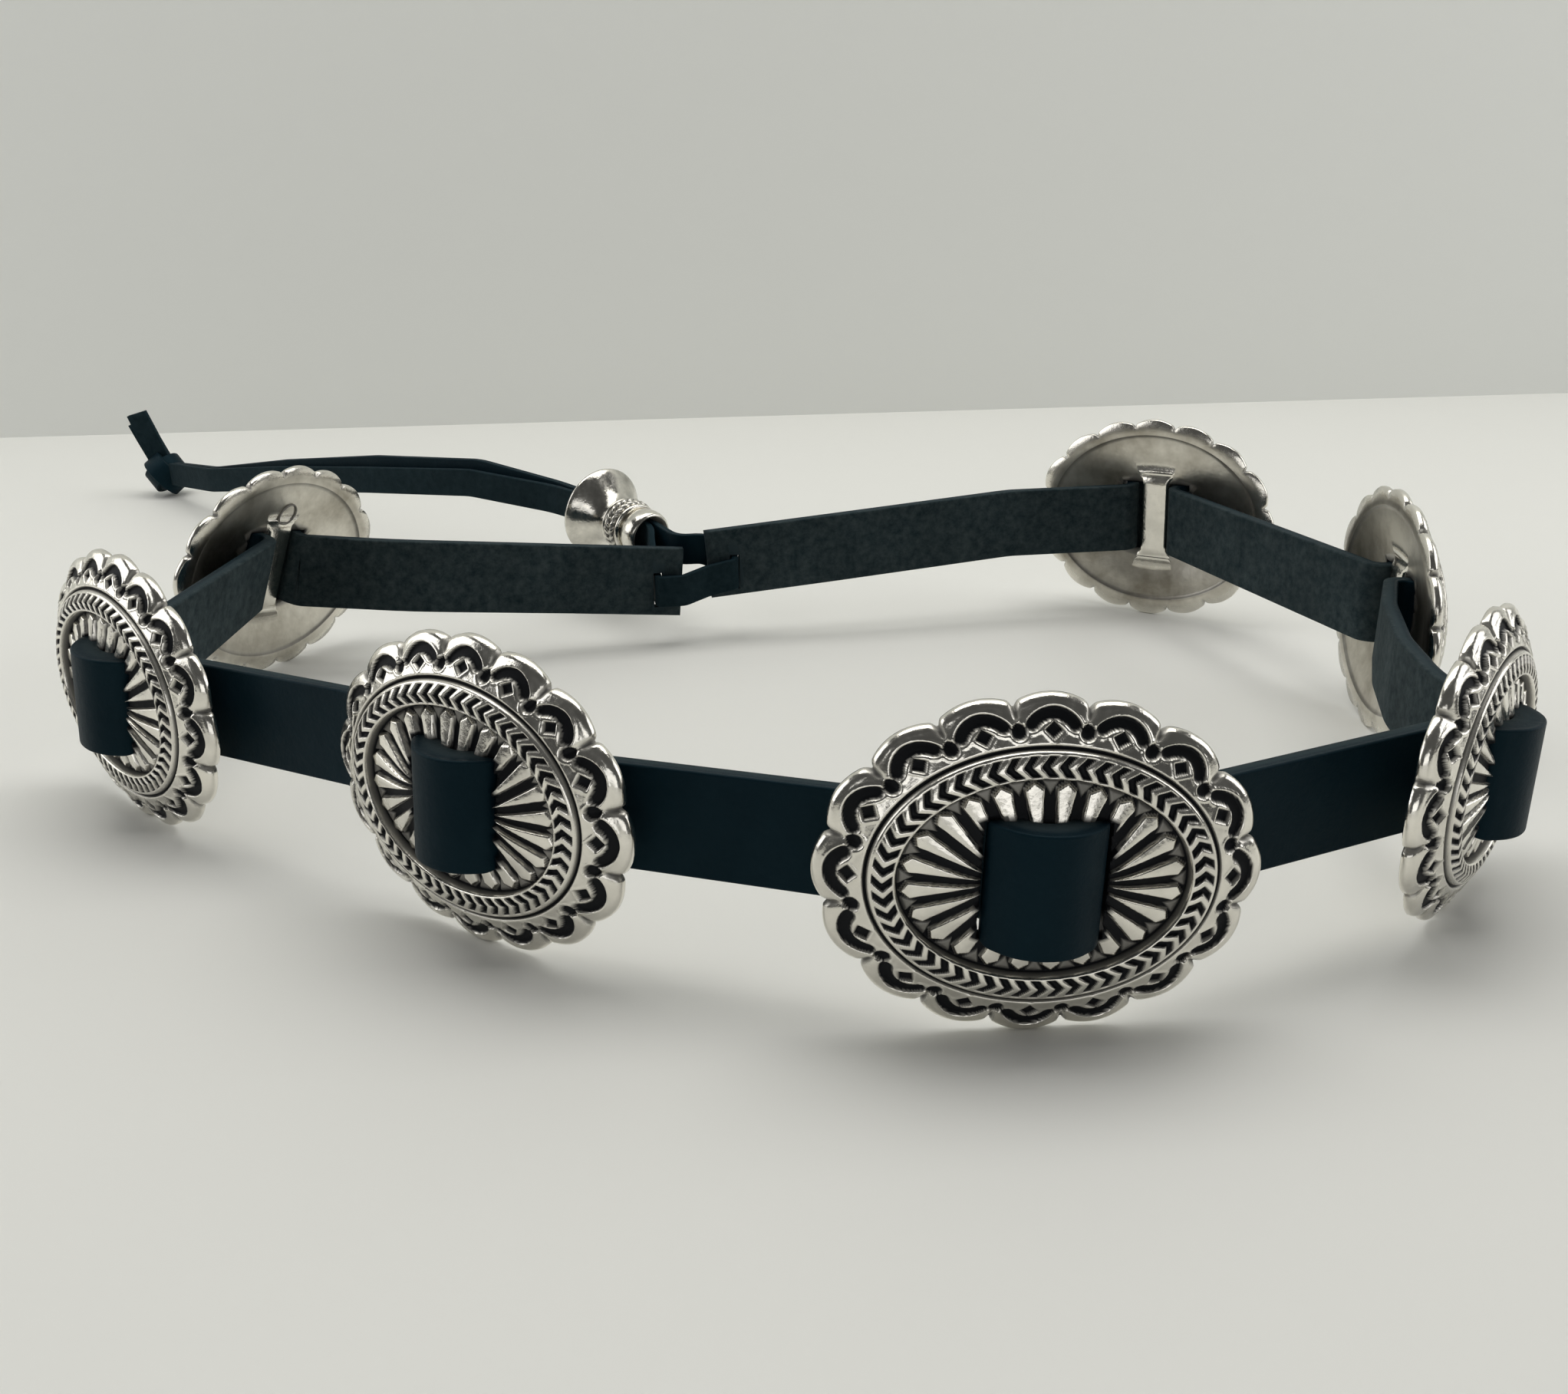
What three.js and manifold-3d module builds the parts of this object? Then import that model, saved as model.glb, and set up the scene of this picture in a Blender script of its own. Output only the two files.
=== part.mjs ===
// Concho belt standing on its edge in a closed loop. Millimetres, +Z up.
// One leather strap threads seven oval cast conchos. Its ends meet at the back, where one flat lace
// runs through a slit near each end, through a flared metal slide and on to a knot.
import * as THREE from 'three';
import { mergeVertices } from 'three/addons/utils/BufferGeometryUtils.js';
import Module from 'manifold-3d';

const wasm = await Module();
wasm.setup();

// Driving sizes of the loop, measured between the middles of the outermost conchos
const LOOP_WIDTH = 277;
const LOOP_DEPTH = 225;

// Leather
const STRAP_WIDTH = 19;
const STRAP_THICKNESS = 3.2;
const STRAP_END_CHAMFER = 1.4;
const LACE_WIDTH = 8.5;
const LACE_THICKNESS = 2;

// Clearances
const TOUCH_GAP = 0.3;
const SLOT_END_GAP = 0.35;
const SLIT_SIDE_GAP = 1;
const LACE_GAP = 0.7;

// Concho
const CONCHO_WIDTH = 70.4;
const CONCHO_HEIGHT = 57;
const SCALLOPS = 16;
const SCALLOP_DEPTH = 2.3;
const RIM_THICKNESS = 2.2;
const RIM_BEVEL = 1.3;
const BACK_BAND = 4.8;
const FACE_HEIGHT = 2.5;
const BORDER_WIDTH = 7.6;
const BORDER_RISE = 1.4;
const ROPE_WIDTH = 4.3;
const ROPE_RISE = 2.7;
const GROOVE_DEPTH = 0.5;
const GROOVE_WIDTH = 0.9;
const DOME_RISE = 7.4;
const DOME_WALL = 2.6;
const PETALS = 24;
const PETAL_RELIEF = 0.9;
const BAR_WIDTH = 7.3;
const BAR_BACK = 2.2;
const BAR_FOOT = 3;

// The round hump that the strap makes over the bar
const HUMP_WIDTH = 19.8;
const HUMP_RISE = 12.3;
const HUMP_RADIUS = HUMP_WIDTH / 2 - STRAP_THICKNESS / 2;
const NECK_BEND = 4;
// Where the middle of the strap passes the bar, beside it and behind it: along the concho and out of it
const NECK = { s: BAR_WIDTH / 2 + STRAP_THICKNESS / 2 + 0.8, n: 2.2 };
const FOOT = { s: BAR_WIDTH / 2 + STRAP_THICKNESS / 2 + 1.7, n: -1 };

// Slide: a bell with a rope collar at its waist
const SLIDE_LENGTH = 24;
const SLIDE_BELL = 13.2;
const SLIDE_MOUTH = 7.2;
const SLIDE_COLLAR = 6.9;
const SLIDE_WALL = 1.3;
const SLIDE_SIDES = 16;

// Knot and the two cut ends above it
const KNOT_WIDTH = 19;
const KNOT_HEIGHT = 20;
const KNOT_DEPTH = 16;
const KNOT_BODY = 0.44;
const CUT_END_LENGTH = 15;

const LEATHER = { color: 0x10181c, roughness: 0.5, metalness: 0 };
const SILVER = { color: 0xb9b6a8, roughness: 0.3, metalness: 1 };

// Places in plan as shares of LOOP_WIDTH (across, to the right) and LOOP_DEPTH (back, away).
// A concho's place is the middle of its rim's face, FACE_HEIGHT in front of its back. facing is the
// turn of its front about +Z from -Y, lean tips its top back, roll turns it in its own plane, all in
// degrees. The order is the order along the strap.
const CONCHOS = [
  { name: 'concho_1', across: -0.494, back: 0.305, facing: 242, lean: 14, roll: 11 },
  { name: 'concho_2', across: -0.5, back: -0.113, facing: -44.6, lean: 1.8, roll: -4.7 },
  { name: 'concho_3', across: -0.207, back: -0.36, facing: -35.3, lean: 2.4, roll: -2 },
  { name: 'concho_4', across: 0.129, back: -0.5, facing: 2.7, lean: 1.4, roll: -2.5 },
  { name: 'concho_5', across: 0.433, back: -0.32, facing: 53, lean: -1, roll: -2.4 },
  { name: 'concho_6', across: 0.5, back: 0.088, facing: 87, lean: -1.2, roll: 0 },
  { name: 'concho_7', across: 0.376, back: 0.5, facing: 146.5, lean: 1.2, roll: -1.5 },
];

// Free stretches of the strap, before the concho that each list is named for. up is a share of the
// concho's height, at the middle of the strap's width.
const STRAP_ROUTE = {
  start: [
    { across: -0.113, back: 0.392, up: 0.312 },
    { across: -0.228, back: 0.366, up: 0.36 },
    { across: -0.373, back: 0.306, up: 0.45 },
  ],
  concho_6: [
    { across: 0.434, back: -0.213, up: 0.5 },
    { across: 0.441, back: -0.126, up: 0.5 },
    { across: 0.462, back: -0.022, up: 0.5 },
  ],
  end: [
    { across: 0.223, back: 0.487, up: 0.49 },
    { across: 0.046, back: 0.437, up: 0.43 },
    { across: -0.087, back: 0.414, up: 0.372 },
  ],
};

// How far each slit lies from its end of the strap, and the height of its middle on the strap
const LEFT_SLIT = { inset: 6.5, up: -0.12 };
const RIGHT_SLIT = { inset: 7.5, up: -0.15 };

// Middle of the slide's small mouth, middle of its bell, and the tail to the knot
const SLIDE_MOUTH_PLACE = { across: -0.147, back: 0.475, up: 0.45 };
const SLIDE_BELL_PLACE = { across: -0.206, back: 0.555, up: 0.51 };
const TAIL_ROUTE = [
  { across: -0.26, back: 0.62, up: 0.53, spread: 0.2 },
  { across: -0.36, back: 0.7, up: 0.57, spread: 0.8 },
  { across: -0.5, back: 0.815, up: 0.5, spread: 1 },
  { across: -0.64, back: 0.945, up: 0.39, spread: 0.6 },
  { across: -0.77, back: 1.085, up: 0.25, spread: 0.1 },
];
const TAIL_SPREAD = 3.2;
const KNOT_PLACE = { across: -0.887, back: 1.255, up: 0.157 };

const UP = new THREE.Vector3(0, 0, 1);
const vec = (x, y, z) => new THREE.Vector3(x, y, z);
const radians = (degrees) => THREE.MathUtils.degToRad(degrees);
const placeOf = (p) => vec(p.across * LOOP_WIDTH, p.back * LOOP_DEPTH, (p.up ?? 0) * CONCHO_HEIGHT);

// A closed mesh as a solid for joining and cutting, and back again
function solidOf(geometry) {
  const bare = geometry.clone();
  bare.deleteAttribute('normal');
  bare.deleteAttribute('uv');
  const merged = mergeVertices(bare, 1e-4);
  return new wasm.Manifold(new wasm.Mesh({
    numProp: 3,
    vertProperties: new Float32Array(merged.attributes.position.array),
    triVerts: new Uint32Array(merged.index.array),
  }));
}

function geometryOf(solid) {
  const mesh = solid.getMesh();
  const geometry = new THREE.BufferGeometry();
  geometry.setAttribute('position', new THREE.BufferAttribute(mesh.vertProperties, 3));
  geometry.setIndex(new THREE.BufferAttribute(mesh.triVerts, 1));
  geometry.computeVertexNormals();
  return geometry;
}

function geometryFrom(points, triangles) {
  const geometry = new THREE.BufferGeometry();
  geometry.setAttribute('position', new THREE.Float32BufferAttribute(points.flatMap((p) => p.toArray()), 3));
  geometry.setIndex(triangles.flat());
  return geometry;
}

// Triangles between two closed rings of any two counts. Each ring is { first, count } in the point list.
function stitch(a, b) {
  const triangles = [];
  let i = 0;
  let j = 0;
  while (i < a.count || j < b.count) {
    const stepA = j >= b.count || (i < a.count && (i + 1) / a.count <= (j + 1) / b.count);
    const pointA = a.first + (i % a.count);
    const pointB = b.first + (j % b.count);
    if (stepA) {
      triangles.push([pointA, a.first + ((i + 1) % a.count), pointB]);
      i += 1;
    } else {
      triangles.push([pointA, b.first + ((j + 1) % b.count), pointB]);
      j += 1;
    }
  }
  return triangles;
}

// Angles from the top, clockwise seen from the front, that share an oval's edge evenly
function evenAngles(count, halfWidth, halfHeight) {
  const steps = 1440;
  const lengths = [0];
  for (let i = 1; i <= steps; i += 1) {
    const middle = ((i - 0.5) / steps) * 2 * Math.PI;
    const speed = Math.hypot(halfWidth * Math.cos(middle), halfHeight * Math.sin(middle));
    lengths.push(lengths[i - 1] + speed);
  }
  const angles = [];
  let i = 0;
  for (let k = 0; k < count; k += 1) {
    const goal = (k / count) * lengths[steps];
    while (lengths[i + 1] < goal) i += 1;
    const part = (goal - lengths[i]) / (lengths[i + 1] - lengths[i]);
    angles.push(((i + part) / steps) * 2 * Math.PI);
  }
  return angles;
}

// One concho in its own frame: X to its right, Y up, Z out of its front, Z = 0 at the back of the rim
function conchoGeometry() {
  const halfWidth = CONCHO_WIDTH / 2;
  const halfHeight = CONCHO_HEIGHT / 2;
  const points = [];
  const triangles = [];
  const scallopAngles = evenAngles(SCALLOPS * 4, halfWidth - BORDER_WIDTH / 2, halfHeight - BORDER_WIDTH / 2);
  const petalAngles = evenAngles(PETALS * 2, halfWidth - BORDER_WIDTH * 2, halfHeight - BORDER_WIDTH * 2);
  const plainAngles = evenAngles(SCALLOPS * 2, halfWidth - BORDER_WIDTH, halfHeight - BORDER_WIDTH);
  const dishAngles = evenAngles(PETALS, halfWidth - BORDER_WIDTH * 2, halfHeight - BORDER_WIDTH * 2);

  // inset may be a number or a function of the point's number, and so may height
  function ring(angles, inset, height) {
    const first = points.length;
    angles.forEach((angle, k) => {
      const in_ = typeof inset === 'function' ? inset(k) : inset;
      const z = typeof height === 'function' ? height(k) : height;
      points.push(vec((halfWidth - in_) * Math.sin(angle), (halfHeight - in_) * Math.cos(angle), z));
    });
    return { first, count: angles.length };
  }
  function cap(edge, height, front) {
    const centre = points.length;
    points.push(vec(0, 0, height));
    for (let k = 0; k < edge.count; k += 1) {
      const next = edge.first + ((k + 1) % edge.count);
      triangles.push(front ? [edge.first + k, next, centre] : [edge.first + k, centre, next]);
    }
  }

  // Tip of a lobe, shoulder, notch, shoulder
  const lobeShare = [0, 0.2, 1, 0.2];
  const lobe = (extra) => (k) => SCALLOP_DEPTH * lobeShare[k % 4] + extra;
  const petal = (low, high) => (k) => (k % 2 === 0 ? high : low);
  const ropeOuter = BORDER_WIDTH + GROOVE_WIDTH;
  const ropeInner = BORDER_WIDTH + GROOVE_WIDTH / 2 + ROPE_WIDTH;
  const borderTop = RIM_THICKNESS + BORDER_RISE;
  const ropeTop = borderTop + ROPE_RISE;
  const petalEnd = ropeTop - PETAL_RELIEF;
  const centreInset = halfHeight - STRAP_WIDTH / 2 - TOUCH_GAP * 2;

  const front = [
    ring(scallopAngles, lobe(0), 0),
    ring(scallopAngles, lobe(RIM_BEVEL), RIM_THICKNESS),
    ring(plainAngles, BORDER_WIDTH - GROOVE_WIDTH / 2, borderTop),
    ring(plainAngles, BORDER_WIDTH + GROOVE_WIDTH / 2, borderTop - GROOVE_DEPTH),
    ring(plainAngles, ropeOuter + ROPE_WIDTH / 3, ropeTop),
    ring(plainAngles, ropeInner, petalEnd),
    ring(petalAngles, ropeInner + ROPE_WIDTH / 2, petal(petalEnd - PETAL_RELIEF, petalEnd)),
    ring(petalAngles, centreInset, petal(DOME_RISE - PETAL_RELIEF, DOME_RISE)),
  ];
  for (let i = 1; i < front.length; i += 1) triangles.push(...stitch(front[i - 1], front[i]));
  cap(front[front.length - 1], DOME_RISE, true);

  const dishFloor = DOME_RISE - DOME_WALL;
  const back = [
    front[0],
    ring(plainAngles, BACK_BAND, 0),
    ring(dishAngles, ropeInner + ROPE_WIDTH / 4, dishFloor / 2),
    ring(dishAngles, centreInset, dishFloor),
  ];
  for (let i = 1; i < back.length; i += 1) triangles.push(...stitch(back[i], back[i - 1]));
  cap(back[back.length - 1], dishFloor, false);

  let solid = solidOf(geometryFrom(points, triangles.map(([a, b, c]) => [a, c, b])));
  const slotOuter = HUMP_WIDTH / 2 + TOUCH_GAP;
  const slotInner = BAR_WIDTH / 2;
  const slotHeight = STRAP_WIDTH + SLOT_END_GAP * 2;
  for (const side of [-1, 1]) {
    const slot = new THREE.BoxGeometry(slotOuter - slotInner, slotHeight, DOME_RISE * 3);
    slot.translate(side * (slotOuter + slotInner) / 2, 0, 0);
    solid = solid.subtract(solidOf(slot));
  }
  const barDepth = DOME_RISE - DOME_WALL / 2 - BAR_BACK;
  const bar = new THREE.BoxGeometry(BAR_WIDTH, slotHeight + BAR_FOOT * 2, barDepth);
  bar.translate(0, 0, BAR_BACK + barDepth / 2);
  return geometryOf(solid.add(solidOf(bar)));
}

// Rotation of a concho, seated so that its lowest scallop stands on Z = 0
function conchoFrame(row, geometry) {
  const facing = radians(row.facing);
  const normal = vec(Math.sin(facing), -Math.cos(facing), 0);
  const along = vec(Math.cos(facing), Math.sin(facing), 0);
  const turn = new THREE.Matrix4().makeBasis(along, UP.clone(), normal);
  const lean = new THREE.Matrix4().makeRotationX(-radians(row.lean));
  const roll = new THREE.Matrix4().makeRotationZ(radians(row.roll));
  const matrix = turn.multiply(lean).multiply(roll);
  const turned = geometry.clone().applyMatrix4(matrix);
  turned.computeBoundingBox();
  const place = placeOf(row).addScaledVector(vec(0, 0, 1).transformDirection(matrix), -FACE_HEIGHT);
  place.z = -turned.boundingBox.min.z;
  return matrix.setPosition(place);
}

// A route of points joined by straight lines, with each corner rounded by its own bend radius.
// Each station keeps its place and the direction of the strap's width there.
function roundedRoute(corners, arcSteps) {
  const stations = [{ place: corners[0].place, up: corners[0].up }];
  for (let i = 1; i < corners.length - 1; i += 1) {
    const { place, up, bend } = corners[i];
    const before = corners[i - 1].place.clone().sub(place);
    const after = corners[i + 1].place.clone().sub(place);
    const reach = Math.min(before.length(), after.length()) * 0.48;
    before.normalize();
    after.normalize();
    const turn = Math.PI - before.angleTo(after);
    const tangent = Math.min(bend * Math.tan(turn / 2), reach);
    const start = place.clone().addScaledVector(before, tangent);
    const end = place.clone().addScaledVector(after, tangent);
    const steps = Math.round(arcSteps * turn / (Math.PI / 2)) + 1;
    for (let k = 0; k <= steps; k += 1) {
      const share = k / steps;
      // a quadratic curve through the corner, close to an arc at these turns
      const a = start.clone().lerp(place, share);
      const b = place.clone().lerp(end, share);
      stations.push({ place: a.lerp(b, share), up });
    }
  }
  const last = corners[corners.length - 1];
  stations.push({ place: last.place, up: last.up });
  return stations;
}

// A strip of leather along a route: a flat section whose width follows each station's up
function stripGeometry(stations, width, thickness, chamfer) {
  const points = [];
  const triangles = [];
  const count = stations.length;
  stations.forEach((station, i) => {
    const previous = stations[Math.max(0, i - 1)].place;
    const next = stations[Math.min(count - 1, i + 1)].place;
    const tangent = next.clone().sub(previous).normalize();
    const up = station.up.clone().addScaledVector(tangent, -station.up.dot(tangent)).normalize();
    const side = tangent.clone().cross(up);
    const half = i === 0 || i === count - 1 ? width / 2 - chamfer : width / 2;
    for (const [s, u] of [[1, 1], [-1, 1], [-1, -1], [1, -1]]) {
      const corner = station.place.clone().addScaledVector(side, s * thickness / 2);
      points.push(corner.addScaledVector(up, u * half));
    }
  });
  for (let i = 0; i < count - 1; i += 1) {
    for (let k = 0; k < 4; k += 1) {
      const a = i * 4 + k;
      const b = i * 4 + ((k + 1) % 4);
      triangles.push([a, a + 4, b], [b, a + 4, b + 4]);
    }
  }
  const end = (count - 1) * 4;
  triangles.push([0, 1, 2], [0, 2, 3], [end, end + 2, end + 1], [end, end + 3, end + 2]);
  return geometryFrom(points, triangles);
}

// Corners of the strap where it goes in at one slot of a concho, over the bar and out at the other
function humpCorners(frame) {
  const up = vec(0, 1, 0).transformDirection(frame);
  const radius = HUMP_RADIUS;
  const middle = HUMP_RISE - STRAP_THICKNESS / 2 - radius;
  // corners of the straight lines that touch a half circle over the bar
  const arc = [-67.5, -22.5, 22.5, 67.5].map(radians).map((angle) => {
    const reach = radius / Math.cos(Math.PI / 8);
    return { s: reach * Math.sin(angle), n: middle + reach * Math.cos(angle), bend: radius };
  });
  const leg = (side) => [FOOT, NECK].map(({ s, n }) => ({ s: side * s, n, bend: NECK_BEND }));
  return [...leg(-1), ...arc, ...leg(1).reverse()]
    .map(({ s, n, bend }) => ({ place: vec(s, 0, n).applyMatrix4(frame), up, bend }));
}

// Corners that carry the strap past the back of the rim, where the straight way would cut it
function rimCorners(frame, side, target) {
  const goal = target.clone().applyMatrix4(frame.clone().invert());
  const slope = (goal.z - FOOT.n) / (Math.abs(goal.x) - FOOT.s);
  const deepest = -STRAP_THICKNESS / 2 - TOUCH_GAP * 2;
  const up = vec(0, 1, 0).transformDirection(frame);
  const edges = [CONCHO_WIDTH / 2 - BACK_BAND - STRAP_THICKNESS / 2, CONCHO_WIDTH / 2 + STRAP_THICKNESS / 2];
  return edges
    .filter((reach) => FOOT.n + slope * (reach - FOOT.s) > deepest)
    .map((reach) => ({ place: vec(side * reach, 0, deepest).applyMatrix4(frame), up, bend: STRAP_WIDTH }));
}

function strapStations(frames) {
  const freeBend = STRAP_WIDTH * 2;
  const free = (list) => list.map((p) => ({ place: placeOf(p), up: UP, bend: freeBend }));
  const humps = frames.map(humpCorners);
  const corners = free(STRAP_ROUTE.start);
  CONCHOS.forEach((row, i) => {
    if (i > 0) {
      const between = free(STRAP_ROUTE[row.name] ?? []);
      const leaveTo = between[0]?.place ?? humps[i][0].place;
      const comeFrom = between[between.length - 1]?.place ?? humps[i - 1].at(-1).place;
      const arriving = rimCorners(frames[i], -1, comeFrom).reverse();
      corners.push(...rimCorners(frames[i - 1], 1, leaveTo), ...between, ...arriving);
    }
    corners.push(...humps[i]);
  });
  corners.push(...free(STRAP_ROUTE.end));
  const stations = roundedRoute(corners, 2);
  // the last step at each end is short, so that only the end is chamfered
  const shorten = (end, next) => {
    const step = next.place.clone().sub(end.place).normalize().multiplyScalar(STRAP_END_CHAMFER);
    return { place: end.place.clone().add(step), up: end.up };
  };
  const last = stations.length - 1;
  stations.splice(last, 0, shorten(stations[last], stations[last - 1]));
  stations.splice(1, 0, shorten(stations[0], stations[1]));
  return stations;
}

// Frame at a slit: X along the strap to the right, Y away from the viewer, Z up
function slitFrame(end, next, slit) {
  const along = next.clone().sub(end).normalize();
  const place = end.clone().addScaledVector(along, slit.inset);
  place.z += slit.up * STRAP_WIDTH;
  const right = vec(Math.abs(along.x), along.y * Math.sign(along.x), 0).normalize();
  const away = UP.clone().cross(right);
  return new THREE.Matrix4().makeBasis(right, away, UP).setPosition(place);
}

function slitCutter(frame) {
  const slitWidth = LACE_THICKNESS + SLIT_SIDE_GAP * 2;
  const slitHeight = LACE_WIDTH + SLIT_SIDE_GAP * 4;
  return solidOf(new THREE.BoxGeometry(slitWidth, STRAP_THICKNESS * 3, slitHeight).applyMatrix4(frame));
}

// The lace: tail, slide, behind both strap ends, out at the right slit, in at the left one and back
function laceStations(left, right) {
  const clear = STRAP_THICKNESS / 2 + LACE_GAP + LACE_THICKNESS / 2;
  const at = (frame, x, y, z) => vec(x, y, z).applyMatrix4(frame);
  const mouth = placeOf(SLIDE_MOUTH_PLACE);
  const bell = placeOf(SLIDE_BELL_PLACE);
  const axis = bell.clone().sub(mouth).normalize();
  const across = axis.clone().cross(UP).normalize();
  const apart = (LACE_THICKNESS + TOUCH_GAP) / 2;
  const corner = (place, bend) => ({ place, up: UP, bend });
  const knot = placeOf(KNOT_PLACE);
  const tailEnd = placeOf(TAIL_ROUTE[TAIL_ROUTE.length - 1]);
  const towardTail = tailEnd.clone().sub(knot).normalize();
  const knotEdge = knot.clone().addScaledVector(towardTail, KNOT_WIDTH * KNOT_BODY + TOUCH_GAP * 2);
  const strand = (side) => [
    corner(knotEdge.clone().addScaledVector(across, side * apart), 0),
    ...TAIL_ROUTE.slice().reverse().map((p) => {
      const place = placeOf(p).addScaledVector(across, side * apart * (1 + p.spread));
      place.z += side * p.spread * TAIL_SPREAD / 2;
      return corner(place, LOOP_WIDTH / 8);
    }),
    corner(bell.clone().addScaledVector(across, side * apart), SLIDE_BELL),
    corner(mouth.clone().addScaledVector(across, side * apart).addScaledVector(axis, -1), SLIDE_BELL / 2),
  ];
  const behind = LACE_WIDTH;
  const upper = [
    corner(at(left, LEFT_SLIT.inset, clear + behind * 0.6, LACE_WIDTH), behind),
    corner(at(right, -RIGHT_SLIT.inset, clear, LACE_WIDTH * 0.7), behind),
    corner(at(right, 0, clear, LACE_WIDTH * 0.1), LACE_THICKNESS * 0.8),
    corner(at(right, 0, -clear, 0), LACE_THICKNESS * 0.8),
  ];
  const lower = [
    corner(at(right, -RIGHT_SLIT.inset - TOUCH_GAP, -clear, -LACE_WIDTH * 0.2), LACE_WIDTH / 2),
    corner(at(left, LEFT_SLIT.inset + TOUCH_GAP, -clear, 0), LACE_WIDTH / 2),
    corner(at(left, 0, -clear, 0), LACE_THICKNESS * 0.8),
    corner(at(left, 0, clear + LACE_THICKNESS, 0), LACE_THICKNESS),
  ];
  const corners = [...strand(1), ...upper, ...lower, ...strand(-1).reverse()];
  return roundedRoute(corners, 3);
}

// Slide: outline of the wall from the small mouth to the bell, radius and place along the axis
function slideGeometry() {
  const bore = SLIDE_COLLAR - SLIDE_WALL * 1.2;
  const outer = [
    { along: 0, radius: SLIDE_MOUTH * 0.92 },
    { along: 0.12, radius: SLIDE_MOUTH },
    { along: 0.28, radius: bore + SLIDE_WALL / 2 },
    { along: 0.34, radius: SLIDE_COLLAR },
    { along: 0.5, radius: SLIDE_COLLAR },
    { along: 0.56, radius: bore + SLIDE_WALL / 2 },
    { along: 0.72, radius: SLIDE_BELL * 0.56 },
    { along: 0.86, radius: SLIDE_BELL * 0.8 },
    { along: 0.96, radius: SLIDE_BELL },
    { along: 1, radius: SLIDE_BELL },
  ];
  const inner = [
    { along: 1, radius: SLIDE_BELL - SLIDE_WALL / 2 },
    { along: 0.88, radius: SLIDE_BELL * 0.8 - SLIDE_WALL / 2 },
    { along: 0.74, radius: SLIDE_BELL * 0.56 - SLIDE_WALL / 2 },
    { along: 0.6, radius: bore },
    { along: 0.14, radius: bore },
    { along: 0, radius: bore + SLIDE_WALL / 2 },
  ];
  const outline = [...outer, ...inner, outer[0]];
  const profile = outline.map((p) => new THREE.Vector2(p.radius, p.along * SLIDE_LENGTH));
  const geometry = new THREE.LatheGeometry(profile, SLIDE_SIDES);
  return geometryOf(solidOf(geometry));
}

// Knot: a lump with one wrap round it, and two cut ends standing out of its top
function knotGeometry() {
  const lump = new THREE.SphereGeometry(1, 14, 9);
  lump.scale(KNOT_WIDTH * KNOT_BODY, KNOT_DEPTH * 0.46, KNOT_HEIGHT * 0.46);
  const wrap = new THREE.TorusGeometry(KNOT_HEIGHT * 0.36, LACE_THICKNESS * 1.3, 6, 14);
  wrap.scale(1, 1, LACE_WIDTH / (LACE_THICKNESS * 3));
  wrap.rotateY(radians(38));
  wrap.rotateX(radians(12));
  let solid = solidOf(lump).add(solidOf(wrap));
  for (const [lean, side, share] of [[-18, -1, 1], [-25, 1, 0.8]]) {
    const length = CUT_END_LENGTH * share + KNOT_HEIGHT / 2;
    const end = new THREE.BoxGeometry(LACE_WIDTH, LACE_THICKNESS, length);
    end.translate(0, side * (LACE_THICKNESS + TOUCH_GAP) / 2, length / 2);
    end.rotateY(radians(lean));
    solid = solid.add(solidOf(end));
  }
  return geometryOf(solid);
}

function piece(name, geometry, finish) {
  const mesh = new THREE.Mesh(geometry, new THREE.MeshStandardMaterial(finish));
  mesh.name = name;
  return mesh;
}

const belt = new THREE.Group();
const concho = conchoGeometry();
const frames = CONCHOS.map((row) => conchoFrame(row, concho));
CONCHOS.forEach((row, i) => {
  const mesh = piece(row.name, concho.clone(), SILVER);
  mesh.applyMatrix4(frames[i]);
  belt.add(mesh);
});

const stations = strapStations(frames);
const leftSlit = slitFrame(placeOf(STRAP_ROUTE.start[0]), placeOf(STRAP_ROUTE.start[1]), LEFT_SLIT);
const rightSlit = slitFrame(placeOf(STRAP_ROUTE.end[2]), placeOf(STRAP_ROUTE.end[1]), RIGHT_SLIT);
const strapSolid = solidOf(stripGeometry(stations, STRAP_WIDTH, STRAP_THICKNESS, STRAP_END_CHAMFER));
const slitStrap = strapSolid.subtract(slitCutter(leftSlit)).subtract(slitCutter(rightSlit));
belt.add(piece('strap', geometryOf(slitStrap), LEATHER));

const lace = stripGeometry(laceStations(leftSlit, rightSlit), LACE_WIDTH, LACE_THICKNESS, 0);
belt.add(piece('lace', lace, LEATHER));

const slide = piece('slide', slideGeometry(), SILVER);
const slideStart = placeOf(SLIDE_MOUTH_PLACE);
const slideAxis = placeOf(SLIDE_BELL_PLACE).sub(slideStart).normalize();
slide.quaternion.setFromUnitVectors(vec(0, 1, 0), slideAxis);
slide.position.copy(slideStart);
belt.add(slide);

const knot = piece('knot', knotGeometry(), LEATHER);
knot.position.copy(placeOf(KNOT_PLACE));
belt.add(knot);

// The origin is at the middle of the whole belt's box, on the surface that it stands on
belt.updateMatrixWorld(true);
const box = new THREE.Box3().setFromObject(belt, true);
belt.position.set(-(box.min.x + box.max.x) / 2, -(box.min.y + box.max.y) / 2, -box.min.z);
belt.updateMatrixWorld(true);

export default belt;
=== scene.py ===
# Looks of the concho belt: dense cast conchos, leather, slide and knot, and a pale studio.
# Lengths are millimetres while shapes are worked out, and metres once they become meshes.
import math

import bmesh
import bpy
import numpy as np
from mathutils import Matrix, Vector


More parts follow.
